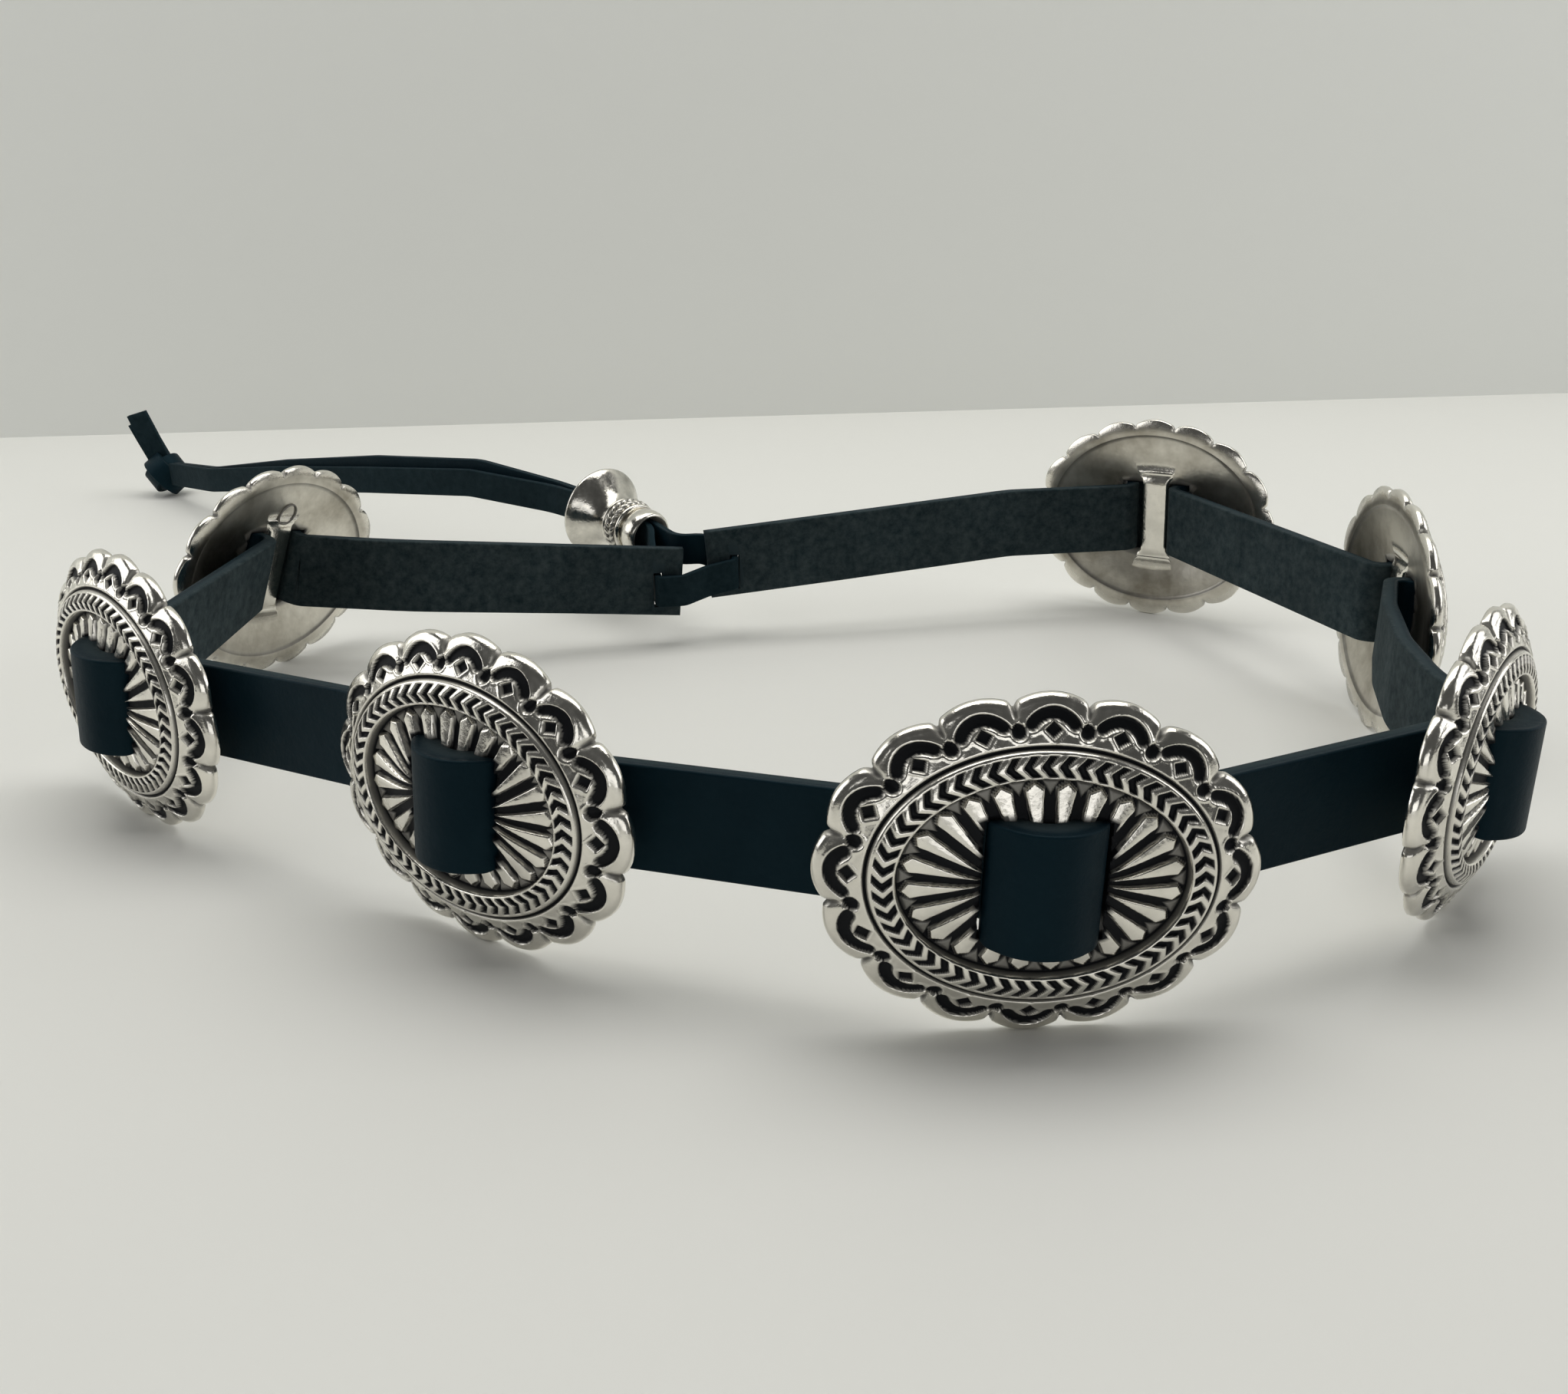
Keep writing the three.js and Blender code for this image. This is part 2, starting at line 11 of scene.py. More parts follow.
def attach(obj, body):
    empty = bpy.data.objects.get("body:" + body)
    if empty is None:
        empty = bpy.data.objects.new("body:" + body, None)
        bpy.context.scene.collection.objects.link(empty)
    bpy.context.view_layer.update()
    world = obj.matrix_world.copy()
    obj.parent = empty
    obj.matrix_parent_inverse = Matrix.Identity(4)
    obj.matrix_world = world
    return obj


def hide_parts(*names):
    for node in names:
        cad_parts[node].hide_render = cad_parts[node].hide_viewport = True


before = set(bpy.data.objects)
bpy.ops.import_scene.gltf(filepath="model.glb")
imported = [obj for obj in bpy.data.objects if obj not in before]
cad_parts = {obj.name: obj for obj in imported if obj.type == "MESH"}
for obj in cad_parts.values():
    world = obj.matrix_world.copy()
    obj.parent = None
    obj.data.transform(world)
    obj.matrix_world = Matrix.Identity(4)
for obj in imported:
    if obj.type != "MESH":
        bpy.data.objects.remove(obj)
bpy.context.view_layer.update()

MM = 0.001

# Named sizes and routes, as in the part's source
LOOP_WIDTH = 277
LOOP_DEPTH = 225
STRAP_WIDTH = 19
STRAP_THICKNESS = 3.2
LACE_WIDTH = 8.5
LACE_THICKNESS = 2
TOUCH_GAP = 0.3
LACE_GAP = 0.7
CONCHO_WIDTH = 70.4
CONCHO_HEIGHT = 57
RIM_THICKNESS = 2.2
BORDER_WIDTH = 7.6
DOME_RISE = 7.4
BAR_WIDTH = 7.3
BAR_BACK = 2.2
BACK_BAND = 4.8
FACE_HEIGHT = 2.5
HUMP_WIDTH = 19.8
HUMP_RISE = 12.3
HUMP_RADIUS = HUMP_WIDTH / 2 - STRAP_THICKNESS / 2
NECK_BEND = 4
NECK = (BAR_WIDTH / 2 + STRAP_THICKNESS / 2 + 0.8, 2.2)
FOOT = (BAR_WIDTH / 2 + STRAP_THICKNESS / 2 + 1.7, -1)
SLOT_END_GAP = 0.35

# Where the looks depart from the solids: narrow slits, a steeper border, and fuller humps of the
# strap, which fill the slots of the conchos
SLIT_SIDE_GAP = 0.3
BORDER_RISE = 2.9
HUMP_GROWTH_UP = 0.4
HUMP_GROWTH_DOWN = 1.2
HUMP_GROWTH_IN = 2.2
SLOT_OVERLAP = 0.15

CONCHOS = [
    {"name": "concho_1", "across": -0.494, "back": 0.305, "facing": 242, "lean": 14, "roll": 11},
    {"name": "concho_2", "across": -0.5, "back": -0.113, "facing": -44.6, "lean": 1.8, "roll": -4.7},
    {"name": "concho_3", "across": -0.207, "back": -0.36, "facing": -35.3, "lean": 2.4, "roll": -2},
    {"name": "concho_4", "across": 0.129, "back": -0.5, "facing": 2.7, "lean": 1.4, "roll": -2.5},
    {"name": "concho_5", "across": 0.433, "back": -0.32, "facing": 53, "lean": -1, "roll": -2.4},
    {"name": "concho_6", "across": 0.5, "back": 0.088, "facing": 87, "lean": -1.2, "roll": 0},
    {"name": "concho_7", "across": 0.376, "back": 0.5, "facing": 146.5, "lean": 1.2, "roll": -1.5},
]

STRAP_ROUTE = {
    "start": [
        {"across": -0.113, "back": 0.392, "up": 0.312},
        {"across": -0.228, "back": 0.366, "up": 0.36},
        {"across": -0.373, "back": 0.306, "up": 0.45},
    ],
    "concho_6": [
        {"across": 0.434, "back": -0.213, "up": 0.5},
        {"across": 0.441, "back": -0.126, "up": 0.5},
        {"across": 0.462, "back": -0.022, "up": 0.5},
    ],
    "end": [
        {"across": 0.223, "back": 0.487, "up": 0.49},
        {"across": 0.046, "back": 0.437, "up": 0.43},
        {"across": -0.087, "back": 0.414, "up": 0.372},
    ],
}
LEFT_SLIT = {"inset": 6.5, "up": -0.12}
RIGHT_SLIT = {"inset": 7.5, "up": -0.15}
SLIDE_MOUTH_PLACE = {"across": -0.147, "back": 0.475, "up": 0.45}
SLIDE_BELL_PLACE = {"across": -0.206, "back": 0.555, "up": 0.51}
SLIDE_LENGTH = 24
SLIDE_BELL = 13.2
SLIDE_MOUTH = 7.2
SLIDE_COLLAR = 6.9
SLIDE_WALL = 1.3
TAIL_ROUTE = [
    {"across": -0.26, "back": 0.62, "up": 0.53, "spread": 0.2},
    {"across": -0.36, "back": 0.7, "up": 0.57, "spread": 0.8},
    {"across": -0.5, "back": 0.815, "up": 0.5, "spread": 1},
    {"across": -0.64, "back": 0.945, "up": 0.39, "spread": 0.6},
    {"across": -0.77, "back": 1.085, "up": 0.25, "spread": 0.1},
]
TAIL_SPREAD = 3.2
KNOT_PLACE = {"across": -0.887, "back": 1.255, "up": 0.157}
KNOT_WIDTH = 19
KNOT_BODY = 0.44
KNOT_HEIGHT = 20
CUT_END_LENGTH = 15

# Radii of the rounded edges of the leather
STRAP_EDGE = 0.45
LACE_EDGE = 0.35

# Knot: half sizes of its lump; name, direction across and radius of each wrap; and name, lean, side
# and share of the length of each cut end
KNOT_LUMP = (7.4, 6.4, 7.0)
KNOT_WRAPS = (("knot_wrap_a", (0.72, 0.2, 0.62), 7.3), ("knot_wrap_b", (-0.6, 0.25, 0.72), 6.5))
CUT_ENDS = (("cut_end_a", -18, -1, 1), ("cut_end_b", -25, 1, 0.8))

# The photograph's camera, in plan from the middle of the loop and up from the floor
CAMERA_PLACE = (-3.2, -328.5, 137.2)
CAMERA_DOWN = 20.27
CAMERA_ROLL = -0.62
CAMERA_LENS = 35.89
CAMERA_SENSOR = 36

# Concho ornament. Insets run inwards from the edge, heights forwards from the plane of the rim's back
SCALLOPS = 16
SCALLOP_DEPTH = 1.5
NOTCH_DEPTH = 0.8
NOTCH_WIDTH = 0.5
CHEVRONS = 52
PETALS = 24
AROUND = 624
RING_TALLER = 0.5
RING_START = 8.7
RING_MIDDLE = 10.45
RING_CREST = 5.75
CHEVRON_REACH = 1.62
PETAL_START = 12.95
PETAL_GAP = 1.6
DOME_FLOOR = 4.3
DOME_CLIMB = 2.1
CUT_DEPTH = 0.75
DISH_FLOOR = 4.15
CENTRE_INSET = 28.3

# Painted shade in the hollow under each hump: how far it reaches past the strap, and its depth
HOLLOW_REACH = 0.7
HOLLOW_DEPTH = 4.2

# How the bar widens and thins where it meets the dish, past the ends of its slots
BAR_SIDE_GROWTH = 0.15
BAR_END_REACH = 3.2
BAR_END_SPREAD = 2.4
BAR_END_BACK = 3.9
BAR_END_TOP = 4.4

UP = np.array([0.0, 0.0, 1.0])


def unit(v):
    return v / np.linalg.norm(v)


def smooth(x, low, high):
    t = np.clip((x - low) / (high - low), 0, 1)
    return t * t * (3 - 2 * t)


def turn_about(axis, degrees):
    return np.array(Matrix.Rotation(math.radians(degrees), 3, axis))


# Rotation of a concho: columns are its right, its up and its front
def concho_turn(row):
    facing = math.radians(row["facing"])
    front = np.array([math.sin(facing), -math.cos(facing), 0])
    along = np.array([math.cos(facing), math.sin(facing), 0])
    upright = np.column_stack([along, UP, front])
    return upright @ turn_about("X", -row["lean"]) @ turn_about("Z", row["roll"])


def node_points(name):
    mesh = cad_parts[name].data
    flat = np.zeros(len(mesh.vertices) * 3)
    mesh.vertices.foreach_get("co", flat)
    return flat.reshape(-1, 3) / MM


# Where the solid concho lies: the middle of its outline on the plane of its rim's back
def concho_place(row):
    turn = concho_turn(row)
    local = node_points(row["name"]) @ turn
    low = local.min(axis=0)
    high = local.max(axis=0)
    return turn @ np.array([(low[0] + high[0]) / 2, (low[1] + high[1]) / 2, low[2]])


FRAMES = {row["name"]: (concho_turn(row), concho_place(row)) for row in CONCHOS}
FRONT_ROW = CONCHOS[3]
FRONT_TURN, FRONT_PLACE = FRAMES[FRONT_ROW["name"]]
SHIFT = FRONT_PLACE + FRONT_TURN[:, 2] * FACE_HEIGHT
SHIFT -= np.array([FRONT_ROW["across"] * LOOP_WIDTH, FRONT_ROW["back"] * LOOP_DEPTH, 0])
SHIFT[2] = 0


def place_of(p):
    height = p.get("up", 0) * CONCHO_HEIGHT
    return SHIFT + np.array([p["across"] * LOOP_WIDTH, p["back"] * LOOP_DEPTH, height])


def make_object(name, points, faces, material, smooth_faces=True):
    mesh = bpy.data.meshes.new(name)
    mesh.from_pydata((np.asarray(points) * MM).tolist(), [], [list(f) for f in faces])
    mesh.update()
    if smooth_faces:
        mesh.shade_smooth()
    obj = bpy.data.objects.new(name, mesh)
    bpy.context.scene.collection.objects.link(obj)
    if material:
        mesh.materials.append(material)
    return obj


def set_attribute(mesh, name, values):
    layer = mesh.attributes.new(name, "FLOAT", "POINT")
    layer.data.foreach_set("value", np.asarray(values, dtype=np.float32))


# Materials

def new_material(name):
    material = bpy.data.materials.new(name)
    material.use_nodes = True
    tree = material.node_tree
    return material, tree, tree.nodes["Principled BSDF"]


def noise(tree, scale, detail=4.0, roughness=0.6):
    coords = tree.nodes.new("ShaderNodeTexCoord")
    node = tree.nodes.new("ShaderNodeTexNoise")
    node.inputs["Scale"].default_value = scale
    node.inputs["Detail"].default_value = detail
    node.inputs["Roughness"].default_value = roughness
    tree.links.new(coords.outputs["Object"], node.inputs["Vector"])
    return node.outputs["Fac"]


def ramp(tree, value, stops):
    node = tree.nodes.new("ShaderNodeValToRGB")
    elements = node.color_ramp.elements
    while len(elements) < len(stops):
        elements.new(0.5)
    for element, (position, colour) in zip(elements, stops):
        element.position = position
        element.color = (*colour, 1)
    tree.links.new(value, node.inputs["Fac"])
    return node.outputs["Color"]


def grey(value):
    return (value, value, value)


def mix_colour(tree, factor, a, b, mode="MIX"):
    node = tree.nodes.new("ShaderNodeMix")
    node.data_type = "RGBA"
    node.blend_type = mode
    for socket, value in ((node.inputs[0], factor), (node.inputs[6], a), (node.inputs[7], b)):
        if hasattr(value, "is_output"):
            tree.links.new(value, socket)
        elif isinstance(value, tuple):
            socket.default_value = (*value, 1)
        else:
            socket.default_value = value
    return node.outputs[2]


def bump(tree, shader, heights):
    normal = None
    for height, distance in heights:
        node = tree.nodes.new("ShaderNodeBump")
        node.inputs["Distance"].default_value = distance
        tree.links.new(height, node.inputs["Height"])
        if normal:
            tree.links.new(normal, node.inputs["Normal"])
        normal = node.outputs["Normal"]
    tree.links.new(normal, shader.inputs["Normal"])


def attribute(tree, name):
    node = tree.nodes.new("ShaderNodeAttribute")
    node.attribute_name = name
    return node.outputs["Fac"]


SILVER = (0.90, 0.87, 0.79)
# Near black of the oxide in the recesses, also used for the painted shade in the hollow under each hump
OXIDE_AND_SHADE = (0.010, 0.011, 0.013)


# Polished silver that turns near black where the attribute dark is 1: oxide in the recesses of the ornament,
# and painted shade in the hollow under each hump
def silver_material(name, worn=0.0):
    material, tree, shader = new_material(name)
    dark = attribute(tree, "dark")
    stain = noise(tree, 90, 6, 0.65)
    stain_tone = ramp(tree, stain, [(0.3, grey(0.74 - worn)), (0.62, grey(0.97))])
    polished = mix_colour(tree, 1.0, SILVER, stain_tone, "MULTIPLY")
    smoke = ramp(tree, noise(tree, 38, 5, 0.62), [(0.38, (0.36, 0.33, 0.27)), (0.6, (0.78, 0.75, 0.67))])
    polished = mix_colour(tree, attribute(tree, "dull"), polished, smoke)
    colour = mix_colour(tree, dark, polished, OXIDE_AND_SHADE)
    tree.links.new(colour, shader.inputs["Base Color"])
    shine = ramp(tree, dark, [(0.0, grey(0.5)), (1.0, grey(0.1))])
    tree.links.new(shine, shader.inputs["Specular IOR Level"])
    metal = ramp(tree, dark, [(0.0, grey(1.0)), (1.0, grey(0.15))])
    tree.links.new(metal, shader.inputs["Metallic"])
    scuffs = noise(tree, 700, 3, 0.6)
    base_rough = ramp(tree, scuffs, [(0.3, grey(0.13)), (0.7, grey(0.24))])
    rough = mix_colour(tree, dark, base_rough, grey(0.48))
    rough = mix_colour(tree, attribute(tree, "dull"), rough, grey(0.34))
    tree.links.new(rough, shader.inputs["Roughness"])
    bump(tree, shader, [(noise(tree, 260, 4, 0.6), 0.00012), (noise(tree, 1500, 2, 0.5), 0.00002)])
    return material


# Leather: side 1 is the smooth grain, 0 the cut edge and -1 the rough flesh side
def leather_material(name, flesh_tone, grain_tone):
    material, tree, shader = new_material(name)
    side = attribute(tree, "side")
    fibres = noise(tree, 420, 8, 0.72)
    cloudy = noise(tree, 60, 4, 0.6)
    flesh = mix_colour(tree, 1.0, ramp(tree, fibres, [(0.3, flesh_tone[0]), (0.7, flesh_tone[1])]),
                       ramp(tree, cloudy, [(0.3, grey(0.72)), (0.7, grey(1.0))]), "MULTIPLY")
    grain = ramp(tree, cloudy, [(0.3, grain_tone[0]), (0.7, grain_tone[1])])
    edge = mix_colour(tree, 0.45, grain_tone[1], flesh_tone[1])
    to_edge = ramp(tree, side, [(0.0, grey(1.0)), (0.45, grey(0.0))])
    inner = tree.nodes.new("ShaderNodeMath")
    inner.operation = "MULTIPLY"
    inner.inputs[1].default_value = -1
    tree.links.new(side, inner.inputs[0])
    is_flesh = ramp(tree, inner.outputs[0], [(0.3, grey(0.0)), (0.6, grey(1.0))])
    colour = mix_colour(tree, to_edge, grain, edge)
    colour = mix_colour(tree, is_flesh, colour, flesh)
    tree.links.new(colour, shader.inputs["Base Color"])
    tree.links.new(ramp(tree, side, [(0.0, grey(0.78)), (0.6, grey(0.5))]), shader.inputs["Roughness"])
    shader.inputs["Specular IOR Level"].default_value = 0.14
    shader.inputs["Specular Tint"].default_value = (0.45, 0.85, 1, 1)
    grains = noise(tree, 900, 5, 0.6)
    bump(tree, shader, [(fibres, 0.00012), (grains, 0.00004)])
    return material


def plain_material(name, colour, roughness):
    material, tree, shader = new_material(name)
    shader.inputs["Base Color"].default_value = (*colour, 1)
    shader.inputs["Roughness"].default_value = roughness
    return material


# Concho

def even_angles(count, half_width, half_height):
    steps = 5760
    middle = (np.arange(steps) + 0.5) / steps * 2 * math.pi
    speeds = np.hypot(half_width * np.cos(middle), half_height * np.sin(middle))
    lengths = np.concatenate([[0], np.cumsum(speeds)])
    goals = np.arange(count) / count * lengths[-1]
    return np.interp(goals, lengths, np.arange(steps + 1) / steps * 2 * math.pi)


def oval_length(inset):
    a = np.maximum(CONCHO_WIDTH / 2 - inset, 0.01)
    b = np.maximum(CONCHO_HEIGHT / 2 - inset, 0.01)
    return math.pi * (3 * (a + b) - np.sqrt((3 * a + b) * (a + 3 * b)))


# Distance past 0 and 1 of a repeat's phase, as -0.5 to 0.5 from the middle of the nearest one
def phase(turns, count, offset=0.0):
    return (turns * count + offset + 0.5) % 1 - 0.5


# Signed distances, in millimetres and positive inside, of the ornaments cut into the rim
def rim_cuts(turns, inset):
    pitch = oval_length(inset) / SCALLOPS
    lateral = phase(turns, SCALLOPS) * pitch
    bow = 3.9
    half_angle = 0.96
    half_thickness = 1.1
    centre = 2.8 + bow
    angle = np.arctan2(lateral, centre - inset)
    radius = np.hypot(lateral, centre - inset)
    body = half_thickness - np.abs(radius - bow)
    tip_x = bow * math.sin(half_angle)
    tip_y = centre - bow * math.cos(half_angle)
    tips = half_thickness - np.hypot(np.abs(lateral) - tip_x, inset - tip_y)
    crescent = np.where(np.abs(angle) < half_angle, body, tips)
    diamond = (1.5 - np.abs(lateral) - np.abs(inset - 5.35)) / math.sqrt(2)
    between = phase(turns, SCALLOPS, 0.5) * pitch
    dot = 1.25 - np.hypot(between, inset - 5.5)
    return np.maximum(np.maximum(crescent, diamond), dot)


def chevron_cuts(turns, inset):
    across = (inset - RING_MIDDLE) / 1.55
    period = oval_length(inset) / CHEVRONS
    along = ((turns * CHEVRONS - 0.5 * np.abs(across)) % 1 - 0.5) * period
    return np.minimum((0.78 - np.abs(along)) * 0.76, CHEVRON_REACH - np.abs(inset - RING_MIDDLE))


# Petals, and the small dull triangles between their tips
def petal_shapes(turns, inset):
    pitch = oval_length(inset) / PETALS
    lateral = np.abs(phase(turns, PETALS, 0.5)) * pitch
    between = np.abs(phase(turns, PETALS)) * pitch
    side = (pitch - PETAL_GAP) / 2 - lateral
    tip = ((inset - PETAL_START) * 1.25 - lateral) / 1.6
    petal = np.minimum(side, tip)
    wedge = np.minimum(((PETAL_START + 2.45 - inset) * 0.62 - between) / 1.18, inset - PETAL_START)
    return petal, wedge


# Profiles of a concho: inset from its edge, height above the plane of its rim's back, and how dark it is
EDGE_PROFILE = [(0.25, 0, 0.3), (0.05, 0.25, 0.6), (0, 0.9, 0.8), (0.1, 1.3, 0.9), (0.4, 1.75, 0.9),
                (0.75, 2.05, 0.9)]
OUTER_RIDGE = [(7.6, 4.9, 0.5), (7.75, 4.5, 1), (7.95, 4.4, 1), (8.1, 4.7, 1), (8.2, 5.1, 0.7),
               (8.35, 5.5, 0.1), (8.55, 5.75, 0), (8.76, 5.8, 0)]
INNER_RIDGE = [(12.3, 6.5, 0), (12.45, 6.3, 0.1), (12.55, 5.7, 0.7), (12.7, 4.6, 1)]
BACK_PROFILE = [(CENTRE_INSET, DISH_FLOOR, 0), (23, 4.0, 0), (19, 3.6, 0), (16, 3.0, 0), (13, 2.2, 0),
                (10.5, 1.5, 0), (8, 0.95, 0), (6, 0.6, 0.1), (BACK_BAND + 0.35, 0.4, 0.5),
                (BACK_BAND + 0.1, 0.1, 0.6), (BACK_BAND - 0.15, 0, 0), (3.4, 0, 0)]


def concho_mesh():
    angles = even_angles(AROUND, CONCHO_WIDTH / 2 - BORDER_WIDTH / 2, CONCHO_HEIGHT / 2 - BORDER_WIDTH / 2)
    turns = np.arange(AROUND) / AROUND
    x = phase(turns, SCALLOPS)
    from_notch = (0.5 - np.abs(x)) * oval_length(0) / SCALLOPS
    outline = SCALLOP_DEPTH * 4 * x * x + NOTCH_DEPTH * np.exp(-(from_notch / NOTCH_WIDTH) ** 2)
    in_notch = np.exp(-(from_notch / (NOTCH_WIDTH * 1.3)) ** 2)
    rows = []

    def add(inset, height, dark, dull=0.0):
        inset = np.broadcast_to(inset, turns.shape)
        xs = (CONCHO_WIDTH / 2 - inset) * np.sin(angles)
        # the ring is a little taller than an even border would leave it
        taller = RING_TALLER * smooth(inset, 1, BORDER_WIDTH) * (1 - smooth(inset, 13, 24))
        ys = (CONCHO_HEIGHT / 2 - inset + taller) * np.cos(angles)
        zs = np.broadcast_to(height, turns.shape)
        darks = np.broadcast_to(dark, turns.shape)
        rows.append((np.column_stack([xs, ys, zs]), darks, np.full(AROUND, dull)))

    # edge of the rim, from its back to its face
    for extra, height, notch_dark in EDGE_PROFILE:
        add(outline + extra, height, in_notch * notch_dark)
    face_start = outline + 1.1
    for share in np.linspace(0, 1, 26)[:-1]:
        inset = face_start + (BORDER_WIDTH - face_start) * share
        cut = rim_cuts(turns, inset)
        depth = CUT_DEPTH * smooth(cut, -0.02, 0.3)
        lip = 0.2 * np.exp(-((cut + 0.26) / 0.15) ** 2)
        dark = smooth(cut, -0.05, 0.14)
        dark = np.maximum(dark, 0.85 * in_notch * smooth(-share, -0.25, 0))
        add(inset, RIM_THICKNESS + BORDER_RISE * share - depth + lip, dark)
    # groove between the rim and the ring, and the ring's sharp outer ridge
    for inset, height, dark in OUTER_RIDGE:
        add(inset, height, dark)
    for inset in np.linspace(8.9, 12.15, 17):
        cut = chevron_cuts(turns, inset)
        inward = inset - RING_START
        crown = RING_CREST + 0.22 * inward + 0.4 * math.sin(math.pi * inward / 3.6)
        add(inset, crown - CUT_DEPTH * smooth(cut, -0.02, 0.35), smooth(cut, -0.06, 0.1))
    for inset, height, dark in INNER_RIDGE:
        add(inset, height, dark)
    # petals on their dome
    for inset in np.concatenate([np.linspace(12.85, 16.5, 14), np.linspace(17.2, 25.6, 8), [CENTRE_INSET]]):
        floor = DOME_FLOOR + DOME_CLIMB * smooth(inset, 11.0, 24.0)
        petal, wedge = petal_shapes(turns, inset)
        rise = 1.0 * smooth(petal, -0.05, 0.26) + 0.05 * smooth(petal, 0.3, 1.2)
        rise = np.maximum(rise, 0.4 * smooth(wedge, -0.05, 0.3))
        dark = 1 - np.maximum(smooth(petal, 0, 0.14), 0.3 * smooth(wedge, 0.05, 0.25))
        add(inset, floor + rise, dark)
    front_end = len(rows)
    for inset, height, dark in BACK_PROFILE:
        add(inset, height, dark, 1.0)

    points = np.concatenate([r[0] for r in rows])
    dark = np.concatenate([r[1] for r in rows])
    dull = np.concatenate([r[2] for r in rows])
    quads = []
    ring = np.arange(AROUND)
    after = (ring + 1) % AROUND
    count = len(rows)
    for i in range(count):
        if i == front_end - 1:
            continue
        a = i * AROUND
        b = ((i + 1) % count) * AROUND
        quads.append(np.column_stack([a + ring, b + ring, b + after, a + after]))
    faces = np.concatenate(quads).tolist()
    middle_height = DOME_FLOOR + DOME_CLIMB + 0.1
    for i, height, forward in ((front_end - 1, middle_height, True), (front_end, DISH_FLOOR, False)):
        centre = len(points)
        points = np.vstack([points, [0, 0, height]])
        dark = np.append(dark, 0.0)
        dull = np.append(dull, 0.0 if forward else 1.0)
        a = i * AROUND
        for k in range(AROUND):
            pair = (a + k, a + int(after[k]))
            faces.append([pair[0], centre, pair[1]] if forward else [pair[1], centre, pair[0]])
    return points, faces, dark, dull


def apply_boolean(obj, cutters, operation="DIFFERENCE"):
    for cutter in cutters:
        modifier = obj.modifiers.new("cut", "BOOLEAN")
        modifier.operation = operation
        modifier.solver = "MANIFOLD"
        modifier.object = cutter
    graph = bpy.context.evaluated_depsgraph_get()
    result = bpy.data.meshes.new_from_object(obj.evaluated_get(graph))
    obj.modifiers.clear()
    old = obj.data
    obj.data = result
    bpy.data.meshes.remove(old)
    for cutter in cutters:
        bpy.data.objects.remove(cutter)


def box_object(name, size, matrix=None):
    x, y, z = (s / 2 for s in size)
    points = np.array([[i * x, j * y, k * z] for i in (-1, 1) for j in (-1, 1) for k in (-1, 1)])
    faces = [(0, 1, 3, 2), (4, 6, 7, 5), (0, 4, 5, 1), (2, 3, 7, 6), (0, 2, 6, 4), (1, 5, 7, 3)]
    if matrix is not None:
        points = points @ matrix[0].T + matrix[1]
    return make_object(name, points, faces, None, False)


# The bar between the slots, thick in the middle and running out into the dish at both ends
def bar_object():
    slot_end = STRAP_WIDTH / 2 + SLOT_END_GAP
    reach = slot_end + BAR_END_REACH
    points = []
    stations = np.linspace(-reach, reach, 27)
    for y in stations:
        spread = smooth(abs(y), slot_end + 0.2, reach)
        half = BAR_WIDTH / 2 + BAR_SIDE_GROWTH + BAR_END_SPREAD * spread
        low = BAR_BACK + (BAR_END_BACK - BAR_BACK) * spread
        top = DOME_RISE - 1.2 if abs(y) < slot_end else BAR_END_TOP - 0.4 * (abs(y) - slot_end)
        side = min(low + 0.7, top - 0.05)
        under = min(low, top - 0.4)
        right = ((1, top), (1, side), (0.93, under + 0.2), (0.8, under))
        left = [(-x, z) for x, z in right[::-1]]
        for x, z in (*right, *left):
            points.append((x * half, y, z))
    count = 8
    faces = []
    for i in range(len(stations) - 1):
        for k in range(count):
            a = i * count + k
            b = i * count + (k + 1) % count
            faces.append((a, b, b + count, a + count))
    last = (len(stations) - 1) * count
    faces.append(tuple(range(count - 1, -1, -1)))
    faces.append(tuple(last + k for k in range(count)))
    return make_object("bar", points, faces, None)


# Painted shade on the front of the bar and round the slots, in the hollow under the strap's hump
def paint_shade_in_hollow(mesh):
    places = np.zeros(len(mesh.vertices) * 3)
    mesh.vertices.foreach_get("co", places)
    places = places.reshape(-1, 3) / MM
    dark = np.zeros(len(mesh.vertices))
    layer = mesh.attributes["dark"]
    layer.data.foreach_get("value", dark)
    beside = np.abs(places[:, 0]) < HUMP_WIDTH / 2 + HOLLOW_REACH
    within = np.abs(places[:, 1]) < STRAP_WIDTH / 2 + HOLLOW_REACH
    dark[beside & within & (places[:, 2] > DOME_RISE - HOLLOW_DEPTH)] = 1
    layer.data.foreach_set("value", dark.astype(np.float32))


def build_conchos():
    bright = silver_material("cast_silver")
    points, faces, dark, dull = concho_mesh()
    master = make_object("concho_master", points, faces, bright)
    set_attribute(master.data, "dark", dark)
    set_attribute(master.data, "dull", dull)
    outer = HUMP_WIDTH / 2 - SLOT_OVERLAP
    inner = BAR_WIDTH / 2
    cutters = []
    for side in (-1, 1):
        middle = (np.eye(3), np.array([side * (outer + inner) / 2, 0, 0]))
        size = (outer - inner, STRAP_WIDTH + SLOT_END_GAP, DOME_RISE * 4)
        cutters.append(box_object("slot_cutter", size, middle))
    apply_boolean(master, cutters)
    apply_boolean(master, [bar_object()], "UNION")
    paint_shade_in_hollow(master.data)
    for row in CONCHOS:
        turn, place = FRAMES[row["name"]]
        mesh = master.data.copy()
        matrix = Matrix(turn.tolist()).to_4x4()
        matrix.translation = Vector(place * MM)
        mesh.transform(matrix)
        obj = bpy.data.objects.new(row["name"] + "_cast", mesh)
        bpy.context.scene.collection.objects.link(obj)
        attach(obj, "root")
        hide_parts(row["name"])
    bpy.data.objects.remove(master)
    build_back_mark(bright)


